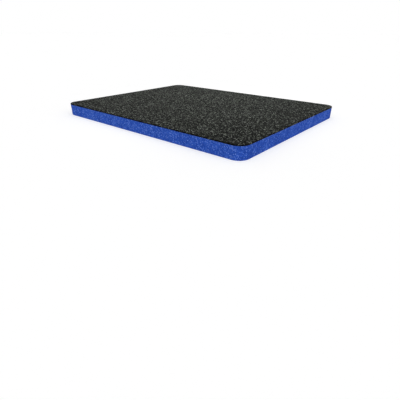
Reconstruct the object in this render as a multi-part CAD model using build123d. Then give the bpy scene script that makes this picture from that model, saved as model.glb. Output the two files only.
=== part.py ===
"""Two-tone foam insert that fills one level of a protective case.

A thick blue foam slab carries a thin black foam sheet bonded over its whole top.
The two are laminated first and the outline is then cut through both at once, so the
layers share one outline and their cut walls run flush, straight down to the underside.

Millimetres. +X runs along the length, +Y across the width and +Z up.
The origin is the centre of the underside, which rests on the case floor or on the
insert below.
"""

from build123d import *
import os

# Cut outline, common to both layers
INSERT_LENGTH = 540.0
INSERT_WIDTH = 418.0
CORNER_RADIUS = 22.0

# Layers, from the underside up
BASE_THICKNESS = 26.0
TOP_SHEET_THICKNESS = 3.0

# A foam blade leaves the outer rims slightly eased, by no more than this share of the layer
RIM_EASE = 0.8
RIM_EASE_LIMIT_SHARE = 0.4


def cut_outline() -> Sketch:
    """The outline that the blade follows: a rectangle with its four corners rounded."""
    return RectangleRounded(INSERT_LENGTH, INSERT_WIDTH, CORNER_RADIUS)


def layer(underside: float, thickness: float) -> Part:
    """One flat layer of the laminate, cut to the common outline."""
    return extrude(Plane.XY.offset(underside) * cut_outline(), amount=thickness)


def eased_rim(rim_face: Face, thickness: float) -> Part:
    """The layer with the edge all round one of its broad faces softened."""
    ease = min(RIM_EASE, RIM_EASE_LIMIT_SHARE * thickness)
    return fillet(rim_face.outer_wire().edges(), ease)


def make_base() -> Part:
    """The blue slab, with its lower rim eased and its top left square at the bond."""
    slab = layer(0, BASE_THICKNESS)
    return eased_rim(slab.faces().sort_by(Axis.Z)[0], BASE_THICKNESS)


def make_top_sheet() -> Part:
    """The black sheet, bonded on the slab's top face, with its upper rim eased."""
    sheet = layer(BASE_THICKNESS, TOP_SHEET_THICKNESS)
    return eased_rim(sheet.faces().sort_by(Axis.Z)[-1], TOP_SHEET_THICKNESS)


def main() -> None:
    """Builds both layers and writes each to its own file."""
    os.makedirs("parts", exist_ok=True)
    layers = {"blue_base": make_base(), "black_top_sheet": make_top_sheet()}
    for node, solid in layers.items():
        export_step(solid, f"parts/{node}.step")


main()
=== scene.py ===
"""Looks of a two-tone foam case insert, in metres, in the part's own frame.

A thick slab of blue foam carries a thin sheet of black foam bonded over its whole top. Both were cut
together by one blade, so they share one outline with four rounded corners. Each layer is modelled here
with the open cells that the cut leaves, and its finish follows those cells.
"""

import logging
import math
from dataclasses import dataclass
from enum import Enum
from typing import Any, Callable, Union

import bmesh
import bpy
import numpy as np
from mathutils import Matrix, Vector


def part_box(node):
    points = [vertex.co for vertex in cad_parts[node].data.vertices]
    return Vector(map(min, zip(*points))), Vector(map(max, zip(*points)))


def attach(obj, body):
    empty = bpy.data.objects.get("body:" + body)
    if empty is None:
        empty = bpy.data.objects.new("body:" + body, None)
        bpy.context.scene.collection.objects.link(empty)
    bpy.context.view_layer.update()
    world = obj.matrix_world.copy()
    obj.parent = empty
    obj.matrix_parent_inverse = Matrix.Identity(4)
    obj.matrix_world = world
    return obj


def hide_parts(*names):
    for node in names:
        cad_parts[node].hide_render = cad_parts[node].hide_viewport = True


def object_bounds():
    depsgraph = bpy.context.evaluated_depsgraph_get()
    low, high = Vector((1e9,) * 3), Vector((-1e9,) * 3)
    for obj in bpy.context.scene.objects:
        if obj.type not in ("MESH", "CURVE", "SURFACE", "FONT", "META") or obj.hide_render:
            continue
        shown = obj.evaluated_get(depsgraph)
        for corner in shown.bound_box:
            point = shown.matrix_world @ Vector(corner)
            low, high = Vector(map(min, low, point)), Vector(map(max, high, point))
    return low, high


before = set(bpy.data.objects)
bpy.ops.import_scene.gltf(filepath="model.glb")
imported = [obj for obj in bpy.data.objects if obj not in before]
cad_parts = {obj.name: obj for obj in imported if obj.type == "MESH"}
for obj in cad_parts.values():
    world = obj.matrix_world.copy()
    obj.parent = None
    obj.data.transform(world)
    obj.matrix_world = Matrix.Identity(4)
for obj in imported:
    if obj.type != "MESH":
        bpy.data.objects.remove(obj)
CAD_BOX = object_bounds()

log = logging.getLogger("foam_insert")

BODY = "root"
DEPTH_ATTRIBUTE = "cell_depth"
CUT_ATTRIBUTE = "cut_wall"
NEAR = 1e-6
MIDDLE = 0.5
RIGHT_ANGLE = 90.0
WHITE = (1.0, 1.0, 1.0, 1.0)

Colour = tuple[float, float, float]
Stop = tuple[float, Colour]
Value = Union["Wire", float]


def turn(degrees: float, axis: str) -> Matrix:
    """A turn about one axis through the origin."""
    return Matrix.Rotation(math.radians(degrees), 4, axis)


class Wire:
    """One output of a node tree. Python's operators on it add Math nodes to that tree."""

    def __init__(self, tree: "ShaderTree", socket: bpy.types.NodeSocket) -> None:
        """Keeps the tree that the socket belongs to.

        Args:
            tree: the tree that new Math nodes are added to.
            socket: the output that this wire starts from.
        """
        self.tree = tree
        self.socket = socket

    def __add__(self, other: Value) -> "Wire":
        """This value plus another."""
        return self.tree.math("ADD", self, other)

    def __radd__(self, other: Value) -> "Wire":
        """Another value plus this one."""
        return self.tree.math("ADD", other, self)

    def __sub__(self, other: Value) -> "Wire":
        """This value less another."""
        return self.tree.math("SUBTRACT", self, other)

    def __rsub__(self, other: Value) -> "Wire":
        """Another value less this one."""
        return self.tree.math("SUBTRACT", other, self)

    def __mul__(self, other: Value) -> "Wire":
        """This value times another."""
        return self.tree.math("MULTIPLY", self, other)

    def __rmul__(self, other: Value) -> "Wire":
        """Another value times this one."""
        return self.tree.math("MULTIPLY", other, self)

    def at_most(self, other: Value) -> "Wire":
        """The lesser of this value and another."""
        return self.tree.math("MINIMUM", self, other)

    def at_least(self, other: Value) -> "Wire":
        """The greater of this value and another."""
        return self.tree.math("MAXIMUM", self, other)

    def eased(self) -> "Wire":
        """This value from zero to one, with a soft start and a soft end."""
        return self * self * (3.0 - 2.0 * self)


class ShaderTree:
    """The nodes of one material or world."""

    def __init__(self, owner: Union[bpy.types.Material, bpy.types.World]) -> None:
        """Empties the owner's node tree.

        Args:
            owner: the material or world that the nodes belong to.
        """
        owner.use_nodes = True
        self.tree = owner.node_tree
        self.tree.nodes.clear()

    def node(self, kind: str, settings: dict[str, Any], sockets: dict[Any, Any]) -> bpy.types.Node:
        """Adds one node.

        Args:
            kind: the node's type.
            settings: the node's own settings, set before its sockets. "stops" fills a colour ramp.
            sockets: a value or a wire for each input, by name or number.

        Returns:
            The new node.
        """
        made = self.tree.nodes.new(kind)
        for name, value in settings.items():
            if name == "stops":
                self.fill_ramp(made.color_ramp, value)
            else:
                setattr(made, name, value)
        for name, value in sockets.items():
            if isinstance(value, Wire):
                self.tree.links.new(value.socket, made.inputs[name])
            else:
                made.inputs[name].default_value = value
        return made

    def fill_ramp(self, ramp: bpy.types.ColorRamp, stops: tuple[Stop, ...]) -> None:
        """Gives a colour ramp its stops.

        Args:
            ramp: the ramp, which has two stops when new.
            stops: a place and a colour for each stop, in rising order.
        """
        while len(ramp.elements) < len(stops):
            ramp.elements.new(1.0)
        for element, (place, colour) in zip(ramp.elements, stops):
            element.position = place
            element.color = (*colour, 1.0)

    def wire(self, output: str, kind: str, settings: dict[str, Any], sockets: dict[Any, Any]) -> Wire:
        """Adds one node and returns the named output of it."""
        return Wire(self, self.node(kind, settings, sockets).outputs[output])

    def math(self, operation: str, first: Value, second: Value) -> Wire:
        """Adds one Math node and returns its value."""
        return self.wire("Value", "ShaderNodeMath", {"operation": operation}, {0: first, 1: second})

    def attribute(self, name: str) -> Wire:
        """A value that the piece's own mesh holds."""
        return self.wire("Fac", "ShaderNodeAttribute", {"attribute_name": name}, {})

    def seen(self) -> Wire:
        """One where the camera looks, straight or by a reflection, and zero for the light itself.

        Returns:
            The value, for a Mix Shader's factor.
        """
        path = self.node("ShaderNodeLightPath", {}, {})
        camera, glossy, transmission = (
            Wire(self, path.outputs[f"Is {kind} Ray"]) for kind in ("Camera", "Glossy", "Transmission")
        )
        return camera.at_least(glossy).at_least(transmission)


@dataclass(frozen=True)
class CellPattern:
    """Where a point lies in the pattern of foam cells.

    Attributes:
        inside: zero on the wall between two cells, rising to one in the middle of a cell.
        opened: how wide the blade opened its cell, from zero where a skin still closes it to one.
        gloss_and_painted_sheen: a lot from zero to one that sets how glossy its skin is and how bright a
            painted highlight it carries.
    """

    inside: Wire
    opened: Wire
    gloss_and_painted_sheen: Wire


@dataclass(frozen=True)
class FoamFinish:
    """The finish of one kind of foam, as cut.

    Attributes:
        slot: the record's material slot.
        shades: the foam's colours, from the painted shade at the bottom of an open cell to the painted
            highlight on a skin.
        cell_size: width of one cell.
        clump_size: width of a patch of cells that were cut alike.
        drift_size: width of the slow change of tone over the sheet.
        tone: place on the shades of a cell's wall.
        skin_highlight_lift: how much lighter the skin of a closed cell is painted, as a painted highlight.
        skin_highlight_spread: how far that painted highlight differs from cell to cell.
        skin_bulge: how far a skin stands out, as a share of the bump's depth.
        gleam: how strongly the smoothest skins gleam at a low angle.
        gleam_share: share of the cells whose skin gleams at all.
        gleam_roughness: roughness of that gleam.
        floor_shade_drop: how much darker the floor of a wide open cell is painted, as painted shade.
        hole_shade_drop: how much darker the deepest hole in the relief is painted, as painted shade.
        cut_shade_drop: how much darker the cut wall is painted than the broad face, as painted shade.
        grain_spread: how far the tone differs inside one cell.
        clump_spread: how far clumps differ in tone.
        drift_spread: how far the tone drifts over the sheet.
        roughness: least and greatest roughness.
        bump_depth: depth of the fine cells that are shown by bump.
        specular: strength of the surface's reflection.
        open_share: share of the cells that the blade opened wide.
        open_blend: how sharply the open cells differ from the others.
        wall_share: half the thickness of a cell's wall, in cells.
        stray: how far a cell's torn outline strays from an even shape, in cells.
        tears: how many times it strays along one cell.
    """

    slot: str
    shades: tuple[Stop, ...]
    cell_size: float
    clump_size: float
    drift_size: float
    tone: float
    skin_highlight_lift: float
    skin_highlight_spread: float
    skin_bulge: float
    gleam: float
    gleam_share: float
    gleam_roughness: float
    floor_shade_drop: float
    hole_shade_drop: float
    cut_shade_drop: float
    grain_spread: float
    clump_spread: float
    drift_spread: float
    roughness: tuple[float, float]
    bump_depth: float
    specular: float
    open_share: float
    open_blend: float
    wall_share: float = 0.2
    stray: float = 0.70
    tears: float = 2.6

    def noise(self, tree: ShaderTree, place: Wire, size: float) -> Wire:
        """A cloudy pattern from about -0.5 to 0.5.

        Args:
            tree: the material's nodes.
            place: where the pattern is read.
            size: width of one cloud.

        Returns:
            The pattern's value.
        """
        sockets = {"Vector": place, "Scale": 1 / size}
        return tree.wire("Fac", "ShaderNodeTexNoise", {}, sockets) - MIDDLE

    def strayed(self, tree: ShaderTree, place: Wire) -> Wire:
        """The place, moved a little to and fro so that no two cells have one shape.

        Args:
            tree: the material's nodes.
            place: the place on the piece.

        Returns:
            The place where the cells are read.
        """
        scale = self.tears / self.cell_size
        swirl = tree.wire("Color", "ShaderNodeTexNoise", {}, {"Vector": place, "Scale": scale})
        reach = self.stray * self.cell_size
        sockets = {0: swirl, 1: (reach, reach, reach), 2: place}
        return tree.wire("Vector", "ShaderNodeVectorMath", {"operation": "MULTIPLY_ADD"}, sockets)

    def cells(self, tree: ShaderTree, place: Wire) -> CellPattern:
        """Divides the foam into cells.

        Args:
            tree: the material's nodes.
            place: the place on the piece.

        Returns:
            The cell pattern at that place.
        """
        sockets = {"Vector": self.strayed(tree, place), "Scale": 1 / self.cell_size}
        colour = tree.wire("Color", "ShaderNodeTexVoronoi", {"feature": "F1"}, sockets)
        edge = tree.wire("Distance", "ShaderNodeTexVoronoi", {"feature": "DISTANCE_TO_EDGE"}, sockets)
        lots = tree.node("ShaderNodeSeparateColor", {}, {0: colour})
        opened = (Wire(tree, lots.outputs["Red"]) - (1.0 - self.open_share)) * self.open_blend + MIDDLE
        return CellPattern(
            inside=(edge * (1 / self.wall_share)).at_most(1.0).eased(),
            opened=opened.at_least(0.0).at_most(1.0),
            gloss_and_painted_sheen=Wire(tree, lots.outputs["Green"]),
        )

    def material(self) -> bpy.types.Material:
        """Makes the finish.

        Returns:
            A material that reads the piece's own coordinates, the depth of its open cells and its cut.
        """
        made = bpy.data.materials.new(self.slot)
        tree = ShaderTree(made)
        place = tree.wire("Object", "ShaderNodeTexCoord", {}, {})
        depth = tree.attribute(DEPTH_ATTRIBUTE)
        cut = tree.attribute(CUT_ATTRIBUTE)
        cell = self.cells(tree, place)
        grain = self.noise(tree, place, self.cell_size / self.tears)
        clump = self.noise(tree, place, self.clump_size)
        drift = self.noise(tree, place, self.drift_size)

        hollow = cell.inside * cell.opened
        skin = cell.inside - hollow
        # Painted highlight: the skin of a closed cell is painted lighter, by a lot that differs from cell
        # to cell.
        painted_highlight = self.skin_highlight_lift + (cell.gloss_and_painted_sheen - MIDDLE) * self.skin_highlight_spread
        # Painted shade: the floor of an open cell is painted darker.
        tone = self.tone + skin * painted_highlight - hollow * self.floor_shade_drop
        tone = tone + grain * self.grain_spread + clump * self.clump_spread + drift * self.drift_spread
        # Painted shade: darker in the deepest hollows of the relief and on the cut wall.
        tone = tone - depth * self.hole_shade_drop - cut * self.cut_shade_drop
        polish = (1.0 - (1.0 - cell.gloss_and_painted_sheen) * (1 / self.gleam_share)).at_least(0.0)
        smooth, rough = self.roughness
        bump = {"Height": skin * self.skin_bulge - hollow, "Distance": self.bump_depth}
        surface = {
            "Base Color": tree.wire("Color", "ShaderNodeValToRGB", {"stops": self.shades}, {"Fac": tone}),
            "Roughness": smooth + (rough - smooth) * (hollow + depth).at_most(1.0),
            "Normal": tree.wire("Normal", "ShaderNodeBump", {}, bump),
            "Specular IOR Level": self.specular,
            "Coat Weight": skin * polish * self.gleam,
            "Coat Roughness": self.gleam_roughness,
        }
        foam = tree.wire("BSDF", "ShaderNodeBsdfPrincipled", {}, surface)
        tree.node("ShaderNodeOutputMaterial", {}, {"Surface": foam})
        return made


BLACK_FOAM = FoamFinish(
    slot="black_foam",
    # The shades run from painted shade in the cell floors, through the foam's own colour, to painted
    # highlight on the skins.
    shades=(
        (0.00, (0.0009, 0.0010, 0.0008)),
        (0.25, (0.0060, 0.0067, 0.0056)),
        (0.50, (0.0215, 0.0239, 0.0200)),
        (0.75, (0.0610, 0.0678, 0.0569)),
        (1.00, (0.2200, 0.2500, 0.2020)),
    ),
    cell_size=0.0018,
    clump_size=0.0050,
    drift_size=0.120,
    tone=0.395,
    skin_highlight_lift=0.36,
    skin_highlight_spread=1.10,
    skin_bulge=0.40,
    gleam=1.00,
    gleam_share=0.33,
    gleam_roughness=0.25,
    floor_shade_drop=0.35,
    hole_shade_drop=0.20,
    cut_shade_drop=0.28,
    grain_spread=1.0,
    clump_spread=1.4,
    drift_spread=0.12,
    roughness=(0.72, 0.95),
    bump_depth=0.0005,
    specular=0.05,
    open_share=0.50,
    open_blend=3.2,
)

BLUE_FOAM = FoamFinish(
    slot="blue_foam",
    # The shades run from painted shade in the cell floors, through the foam's own colour, to painted
    # highlight on the skins.
    shades=(
        (0.00, (0.0103, 0.0402, 0.2800)),
        (0.50, (0.0218, 0.0782, 0.4340)),
        (0.80, (0.0380, 0.1141, 0.5310)),
        (1.00, (0.1400, 0.2500, 0.6900)),
    ),
    cell_size=0.0016,
    clump_size=0.014,
    drift_size=0.070,
    tone=0.68,
    skin_highlight_lift=0.25,
    skin_highlight_spread=0.60,
    skin_bulge=0.40,
    gleam=0.20,
    gleam_share=0.33,
    gleam_roughness=0.25,
    floor_shade_drop=0.35,
    hole_shade_drop=0.16,
    cut_shade_drop=0.0,
    grain_spread=0.5,
    clump_spread=0.5,
    drift_spread=0.30,
    roughness=(0.75, 0.95),
    bump_depth=0.0003,
    specular=0.08,
    open_share=0.5,
    open_blend=2.5,
)


@dataclass(frozen=True)
class CutOutline:
    """The rounded rectangle that one blade cut through both layers.

    Attributes:
        length: size along X.
        width: size along Y.
        corner_radius: radius of the four corners.
        pitch: length of one facet along the outline and over the broad faces.
        band: width of the even band of facets inside the rim of a broad face.
        runs: equal runs that a straight side is first divided into.
    """

    length: float
    width: float
    corner_radius: float = 0.022
    pitch: float = 0.00175
    band: float = 0.0025
    runs: int = 3

    def past_corner(self, place: Vector) -> tuple[float, float]:
        """How far a place lies beyond the centre of its corner's arc, along X and along Y."""
        half_length = self.length / 2 - self.corner_radius
        return abs(place.x) - half_length, abs(place.y) - self.width / 2 + self.corner_radius

    def inset(self, place: Vector) -> float:
        """How far inside the cut wall a place lies.

        Args:
            place: a place in the plane of the outline.

        Returns:
            The distance, zero on the wall.
        """
        past_x, past_y = self.past_corner(place)
        outside = math.hypot(max(past_x, 0.0), max(past_y, 0.0))
        inside = min(max(past_x, past_y), 0.0)
        return self.corner_radius - outside - inside

    def arc_facets(self) -> int:
        """Facets round one corner, an even number so that a corner can be halved."""
        half_arc = math.pi / 4 * self.corner_radius
        return 2 * round(half_arc / self.pitch)

    def run_facets(self, side: float) -> int:
        """Facets in one of the runs of a straight side."""
        return round((side - 2 * self.corner_radius) / self.runs / self.pitch)


class FoamBench:
    """A mesh on the bench, shaped in edit mode by Blender's own operators."""

    def __init__(self, name: str, outline: CutOutline, height: float) -> None:
        """Lays a rectangular blank flat at a height.

        Args:
            name: the piece's name.
            outline: the outline that the blank is as large as.
            height: where the blank lies along Z.
        """
        bpy.ops.object.select_all(action="DESELECT")
        bpy.ops.mesh.primitive_plane_add(size=1.0, location=(0.0, 0.0, height))
        self.piece = bpy.context.object
        self.piece.name = name
        self.piece.data.name = name
        self.piece.scale = (outline.length, outline.width, 1.0)
        bpy.ops.object.transform_apply(location=True, rotation=True, scale=True)
        self.outline = outline
        self.height = height
        bpy.ops.object.mode_set(mode="EDIT")
        bpy.ops.mesh.select_mode(type="EDGE")

    def pick_edges(self, test: Callable[[Vector, Vector], bool]) -> None:
        """Selects the edges that pass a test, and nothing else.

        Args:
            test: takes the places of an edge's two ends.
        """
        bpy.ops.mesh.select_all(action="DESELECT")
        mesh = bmesh.from_edit_mesh(self.piece.data)
        for edge in mesh.edges:
            edge.select_set(test(edge.verts[0].co, edge.verts[1].co))
        bmesh.update_edit_mesh(self.piece.data)

    def along_length(self, start: Vector, end: Vector) -> bool:
        """Whether an edge inside the rim band runs along a long side or round its half of a corner.

        Args:
            start: where the edge starts.
            end: where it ends.

        Returns:
            Whether it does.
        """
        past_x, past_y = self.outline.past_corner((start + end) / 2)
        inside = all(self.outline.inset(place) > self.outline.band / 2 for place in (start, end))
        return inside and past_y > past_x

    def on_rim(self, start: Vector, end: Vector) -> bool:
        """Whether an edge lies on the rim of the broad face.

        Args:
            start: where the edge starts.
            end: where it ends.

        Returns:
            Whether both ends and the middle lie at the face's height and on the cut.
        """
        sag = self.outline.pitch ** 2 / self.outline.corner_radius
        places = (start, end, (start + end) / 2)
        flat = all(abs(place.z - self.height) < NEAR for place in places)
        return flat and all(self.outline.inset(place) < sag for place in places)

    def round_corners(self) -> None:
        """Rounds the blank's corners and leaves only its outline."""
        bpy.ops.mesh.select_all(action="SELECT")
        segments = self.outline.arc_facets()
        bpy.ops.mesh.bevel(offset=self.outline.corner_radius, segments=segments, affect="VERTICES")
        bpy.ops.mesh.select_all(action="SELECT")
        bpy.ops.mesh.delete(type="ONLY_FACE")

    def divide_side(self, axis: int, side: float) -> None:
        """Divides the two straight sides that run along an axis into facets.

        Args:
            axis: 0 for the sides along X, 1 for those along Y.
            side: the blank's size along that axis.
        """
        self.pick_edges(lambda start, end: abs(start[axis] - end[axis]) > side / 2)
        bpy.ops.mesh.subdivide(number_cuts=self.outline.runs - 1)
        bpy.ops.mesh.subdivide(number_cuts=self.outline.run_facets(side) - 1)

    def fill_face(self) -> None:
        """Fills the outline with an even band of facets and, inside it, a grid."""
        bpy.ops.mesh.select_all(action="SELECT")
        bpy.ops.mesh.edge_face_add()
        bpy.ops.mesh.inset(thickness=self.outline.band)
        bpy.ops.mesh.delete(type="ONLY_FACE")
        self.pick_edges(self.along_length)
        bpy.ops.mesh.fill_grid()

    def raise_wall(self, height: float, rows: int) -> None:
        """Draws the cut wall out of the face's rim, row by row, and closes it with the bond face.

        Args:
            height: height of the wall, negative downwards.
            rows: rows of facets in the wall.
        """
        self.pick_edges(self.on_rim)
        step = {"value": (0.0, 0.0, height / rows)}
        for _ in range(rows):
            bpy.ops.mesh.extrude_edges_move(TRANSFORM_OT_translate=step)
        bpy.ops.mesh.edge_face_add()

    def ease_rim(self, ease: float, segments: int) -> None:
        """Softens the rim of the broad face as the blade leaves it."""
        self.pick_edges(self.on_rim)
        bpy.ops.mesh.bevel(offset=ease, segments=segments, affect="EDGES")

    def leave(self) -> bpy.types.Object:
        """Turns all faces outwards and leaves edit mode.

        Returns:
            The piece.
        """
        bpy.ops.mesh.select_all(action="SELECT")
        bpy.ops.mesh.normals_make_consistent(inside=False)
        bpy.ops.object.mode_set(mode="OBJECT")
        return self.piece


class ReliefKind(Enum):
    """Kinds of unevenness in a cut foam face, by the texture that shapes them."""

    OPEN_CELLS = "VORONOI"
    SWELL = "CLOUDS"


@dataclass(frozen=True)
class Relief:
    """One unevenness of a foam layer.

    Attributes:
        kind: what it looks like.
        size: width of one cell or swell.
        depth: how far it goes in from the cut surface.
    """

    kind: ReliefKind
    size: float
    depth: float

    def press(self, piece: bpy.types.Object, group: str) -> None:
        """Presses the relief into a piece.

        Args:
            piece: the active object.
            group: vertex group with the share of the depth that each point takes.
        """
        name = self.kind.name.lower()
        texture = bpy.data.textures.new(f"{piece.name}_{name}", self.kind.value)
        texture.noise_scale = self.size
        modifier = piece.modifiers.new(name, "DISPLACE")
        modifier.texture = texture
        modifier.texture_coords = "LOCAL"
        modifier.vertex_group = group
        modifier.strength = self.depth
        modifier.mid_level = 1.0
        bpy.ops.object.modifier_apply(modifier=name)


@dataclass
class FoamLayer:
    """One layer of the insert.

    Attributes:
        name: the piece's name.
        node: the node that the piece stands for.
        finish: what it is made of.
        outline: its cut outline.
        face: height of its free broad face.
        bond: height of the face that is bonded to the other layer.
        reliefs: the unevenness of its surface.
        face_share: share of the relief's depth on the broad face.
        wall_share: share of the relief's depth on the cut wall.
        wall_row: height of one row of facets in the cut wall.
        rim_ease: radius of the rim of the broad face.
        rim_facets: facets round that rim.
        crease: angle in degrees past which two facets meet in a sharp edge.
    """

    name: str
    node: str
    finish: FoamFinish
    outline: CutOutline
    face: float
    bond: float
    reliefs: tuple[Relief, ...]
    face_share: float
    wall_share: float
    wall_row: float = 0.0014
    rim_ease: float = 0.0008
    rim_facets: int = 2
    crease: float = 60.0

    def model(self) -> bpy.types.Object:
        """Models the layer: outline, broad face, cut wall, bond face and eased rim.

        Returns:
            The smooth layer, before its cells are opened.
        """
        height = self.bond - self.face
        bench = FoamBench(self.name, self.outline, self.face)
        bench.round_corners()
        bench.divide_side(0, self.outline.length)
        bench.divide_side(1, self.outline.width)
        bench.fill_face()
        bench.raise_wall(height, round(abs(height) / self.wall_row))
        bench.ease_rim(self.rim_ease, self.rim_facets)
        return bench.leave()

    def places(self, piece: bpy.types.Object) -> np.ndarray:
        """The places of a piece's points.

        Args:
            piece: the piece.

        Returns:
            One row of X, Y and Z for each point.
        """
        found = np.empty(len(piece.data.vertices) * 3, np.float32)
        piece.data.vertices.foreach_get("co", found)
        return found.reshape(-1, 3)

    def normals(self, piece: bpy.types.Object) -> np.ndarray:
        """The outward directions at a piece's points.

        Args:
            piece: the piece.

        Returns:
            One row of X, Y and Z for each point.
        """
        found = np.empty(len(piece.data.vertices) * 3, np.float32)
        piece.data.vertex_normals.foreach_get("vector", found)
        return found.reshape(-1, 3)

    def keep(self, piece: bpy.types.Object, name: str, values: np.ndarray) -> None:
        """Keeps one value for each point of a piece, for its finish to read."""
        attribute = piece.data.attributes.new(name, "FLOAT", "POINT")
        attribute.data.foreach_set("value", values.astype(np.float32))

    def mark_surface(self, piece: bpy.types.Object) -> str:
        """Marks the cut wall, and weighs how deep the relief may go: the bond stays flat.

        Args:
            piece: the smooth layer.

        Returns:
            The name of the vertex group with the weights.
        """
        height = self.places(piece)[:, 2]
        broad = np.abs(height - self.face) < self.rim_ease - NEAR
        bond = np.abs(height - self.bond) < NEAR
        # The cut wall's mark is where the finish paints shade.
        self.keep(piece, CUT_ATTRIBUTE, ~broad)
        group = piece.vertex_groups.new(name="cut_surface")
        for share, chosen in ((self.face_share, broad), (self.wall_share, ~broad & ~bond), (0.0, bond)):
            group.add(np.flatnonzero(chosen).tolist(), share, "REPLACE")
        return group.name

    def open_cells(self, piece: bpy.types.Object) -> None:
        """Opens the cells of the surface and keeps how deep each point went.

        Args:
            piece: the smooth layer, which is the active object.
        """
        group = self.mark_surface(piece)
        smooth = self.places(piece)
        outward = self.normals(piece)
        for relief in self.reliefs:
            relief.press(piece, group)
        depth = ((smooth - self.places(piece)) * outward).sum(axis=1)
        # The depth is where the finish paints shade in the hollows, and what roughens them.
        self.keep(piece, DEPTH_ATTRIBUTE, depth / sum(relief.depth for relief in self.reliefs))
        bpy.ops.object.shade_smooth_by_angle(angle=math.radians(self.crease))

    def build(self) -> bpy.types.Object:
        """Makes the finished layer and puts it in the frame.

        Returns:
            The piece.
        """
        piece = self.model()
        self.open_cells(piece)
        piece.data.materials.append(self.finish.material())
        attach(piece, BODY)
        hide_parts(self.node)
        return piece


@dataclass
class FoamInsert:
    """The whole insert: both layers at the places that the frame gives.

    Attributes:
        base_node: the node of the blue slab.
        base_reliefs: unevenness of the blue slab.
        sheet_node: the node of the black sheet.
        sheet_reliefs: unevenness of the black sheet.
    """

    base_node: str = "blue_base"
    base_reliefs: tuple[Relief, ...] = (
        Relief(ReliefKind.OPEN_CELLS, size=0.0036, depth=0.00030),
        Relief(ReliefKind.SWELL, size=0.045, depth=0.00020),
    )
    sheet_node: str = "black_top_sheet"
    sheet_reliefs: tuple[Relief, ...] = (
        Relief(ReliefKind.OPEN_CELLS, size=0.0040, depth=0.00050),
        Relief(ReliefKind.SWELL, size=0.060, depth=0.00025),
    )

    def layers(self) -> list[FoamLayer]:
        """Places both layers.

        Returns:
            The layers, from the underside up.
        """
        base_low, base_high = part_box(self.base_node)
        sheet_low, sheet_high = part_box(self.sheet_node)
        size = base_high - base_low
        outline = CutOutline(size.x, size.y)
        slab = FoamLayer(
            name="blue_foam_slab",
            node=self.base_node,
            finish=BLUE_FOAM,
            outline=outline,
            face=base_low.z,
            bond=base_high.z,
            reliefs=self.base_reliefs,
            face_share=0.4,
            wall_share=1.0,
        )
        sheet = FoamLayer(
            name="black_foam_sheet",
            node=self.sheet_node,
            finish=BLACK_FOAM,
            outline=outline,
            face=sheet_high.z,
            bond=sheet_low.z,
            reliefs=self.sheet_reliefs,
            face_share=1.0,
            wall_share=0.4,
        )
        return [slab, sheet]


@dataclass(frozen=True)
class BroadLamp:
    """One broad, far lamp.

    Attributes:
        name: the lamp's name.
        heading: where it stands, in degrees from +X towards +Y.
        height: how high it stands over the horizon, in degrees.
        strength: its light on a surface that faces it.
        spread: its width as seen from the insert, in degrees.
    """

    name: str
    heading: float
    height: float
    strength: float
    spread: float = 60.0

    def floor_share(self) -> float:
        """What it adds to the look of a white floor, where 1 is white."""
        return self.strength * math.sin(math.radians(self.height)) / math.pi

    def hang(self) -> None:
        """Hangs the lamp, facing the insert."""
        bpy.ops.object.light_add(type="SUN")
        lamp = bpy.context.object
        lamp.name = self.name
        lamp.data.energy = self.strength
        lamp.data.angle = math.radians(self.spread)
        tilt = turn(RIGHT_ANGLE - self.height, "X")
        lamp.matrix_world = turn(self.heading + RIGHT_ANGLE, "Z") @ tilt


@dataclass(frozen=True)
class Softbox:
    """The round softbox that hangs over the far half of the top, facing straight down.

    Attributes:
        place: where it hangs.
        size: its width.
        beam: angle that it shines into, in degrees.
        power: its power in watts.
    """

    place: tuple[float, float, float] = (-0.05, 0.09, 0.75)
    size: float = 0.30
    beam: float = 50.0
    power: float = 0.20

    def hang(self) -> None:
        """Hangs the softbox."""
        bpy.ops.object.light_add(type="AREA", location=self.place)
        lamp = bpy.context.object
        lamp.name = "softbox"
        lamp.data.shape = "DISK"
        lamp.data.size = self.size
        lamp.data.spread = math.radians(self.beam)
        lamp.data.energy = self.power


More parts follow.
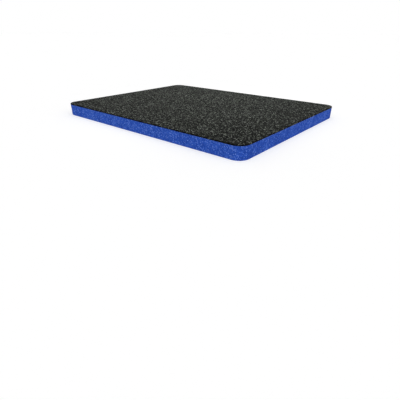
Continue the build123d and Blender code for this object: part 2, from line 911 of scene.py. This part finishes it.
@dataclass
class Studio:
    """Soft light from all round, two broad lamps towards the walls that show, a softbox and a pale floor.

    Attributes:
        sky: strength of the light from all round.
        lamps: the broad lamps.
        softbox: the softbox.
        floor_size: width of the floor.
        floor_paint: how much light the floor gives back.
        floor_glow: share of the floor's look that is plain white, so that a shadow stays pale.
    """

    sky: float = 0.55
    lamps: tuple[BroadLamp, ...] = (
        BroadLamp("front_lamp", heading=-80.0, height=25.0, strength=0.90),
        BroadLamp("side_lamp", heading=0.0, height=25.0, strength=0.90),
    )
    softbox: Softbox = Softbox()
    floor_size: float = 60.0
    floor_paint: float = 0.80
    floor_glow: float = 0.25

    def fill_sky(self) -> None:
        """Makes the world: even light on the insert, and plain white where the camera looks."""
        world = bpy.data.worlds.new("studio")
        bpy.context.scene.world = world
        tree = ShaderTree(world)
        sky = tree.wire("Background", "ShaderNodeBackground", {}, {"Color": WHITE, "Strength": self.sky})
        white = tree.wire("Background", "ShaderNodeBackground", {}, {"Color": WHITE, "Strength": 1.0})
        mixed = tree.wire("Shader", "ShaderNodeMixShader", {}, {0: tree.seen(), 1: sky, 2: white})
        tree.node("ShaderNodeOutputWorld", {}, {"Surface": mixed})

    def paint_floor(self) -> bpy.types.Material:
        """Paints the floor so that it looks white where all the light reaches it, and grey in shadow.

        Returns:
            The floor's material.
        """
        made = bpy.data.materials.new("pale_floor")
        tree = ShaderTree(made)
        paint = {"Color": (self.floor_paint, self.floor_paint, self.floor_paint, 1.0)}
        matt = tree.wire("BSDF", "ShaderNodeBsdfDiffuse", {}, paint)
        light = self.sky + sum(lamp.floor_share() for lamp in self.lamps)
        lit = (1.0 - self.floor_glow) * self.floor_paint * light
        glow = tree.wire("Emission", "ShaderNodeEmission", {}, {"Strength": (1.0 - lit) / self.floor_glow})
        share = tree.seen() * self.floor_glow
        mixed = tree.wire("Shader", "ShaderNodeMixShader", {}, {0: share, 1: matt, 2: glow})
        tree.node("ShaderNodeOutputMaterial", {}, {"Surface": mixed})
        return made

    def lay_floor(self) -> None:
        """Lays the floor under the insert."""
        bpy.ops.object.select_all(action="DESELECT")
        bpy.ops.mesh.primitive_plane_add(size=self.floor_size, location=(0.0, 0.0, CAD_BOX[0].z))
        floor = bpy.context.object
        floor.name = "pale_floor"
        bpy.ops.object.transform_apply(location=True, rotation=True, scale=True)
        floor.data.materials.append(self.paint_floor())

    def build(self) -> None:
        """Makes the world, the lamps and the floor."""
        self.fill_sky()
        for lamp in self.lamps:
            lamp.hang()
        self.softbox.hang()
        self.lay_floor()


@dataclass
class PhotoCamera:
    """The camera, at the photograph's viewing angle and distance.

    Attributes:
        place: where it stands.
        azimuth: how far it stands round the insert from -Y towards +X, in degrees.
        elevation: how far it looks down, in degrees.
        roll: how far it leans, in degrees.
        lens: focal length in millimetres on the sensor below.
        sensor: width of the square sensor in millimetres.
    """

    place: tuple[float, float, float] = (0.53050, -0.62692, 0.19276)
    azimuth: float = 40.0109
    elevation: float = 28.2734
    roll: float = 0.1410
    lens: float = 28.2726
    sensor: float = 36.0

    def build(self) -> None:
        """Sets the camera up and makes it the scene's own."""
        bpy.ops.object.camera_add(location=self.place)
        camera = bpy.context.object
        camera.name = "photo_camera"
        camera.data.lens = self.lens
        camera.data.sensor_width = self.sensor
        tilt = turn(RIGHT_ANGLE - self.elevation, "X") @ turn(self.roll, "Z")
        camera.matrix_world = Matrix.Translation(self.place) @ turn(self.azimuth, "Z") @ tilt
        bpy.context.scene.camera = camera


def main() -> None:
    """Builds the insert and the studio round it."""
    logging.basicConfig(level=logging.INFO, format="%(message)s")
    bpy.context.scene.view_settings.view_transform = "Standard"
    for layer in FoamInsert().layers():
        piece = layer.build()
        piece.data.calc_loop_triangles()
        log.info("%s: %d triangles, stands for %s", piece.name, len(piece.data.loop_triangles), layer.node)
    Studio().build()
    PhotoCamera().build()


if __name__ == "__main__":
    main()
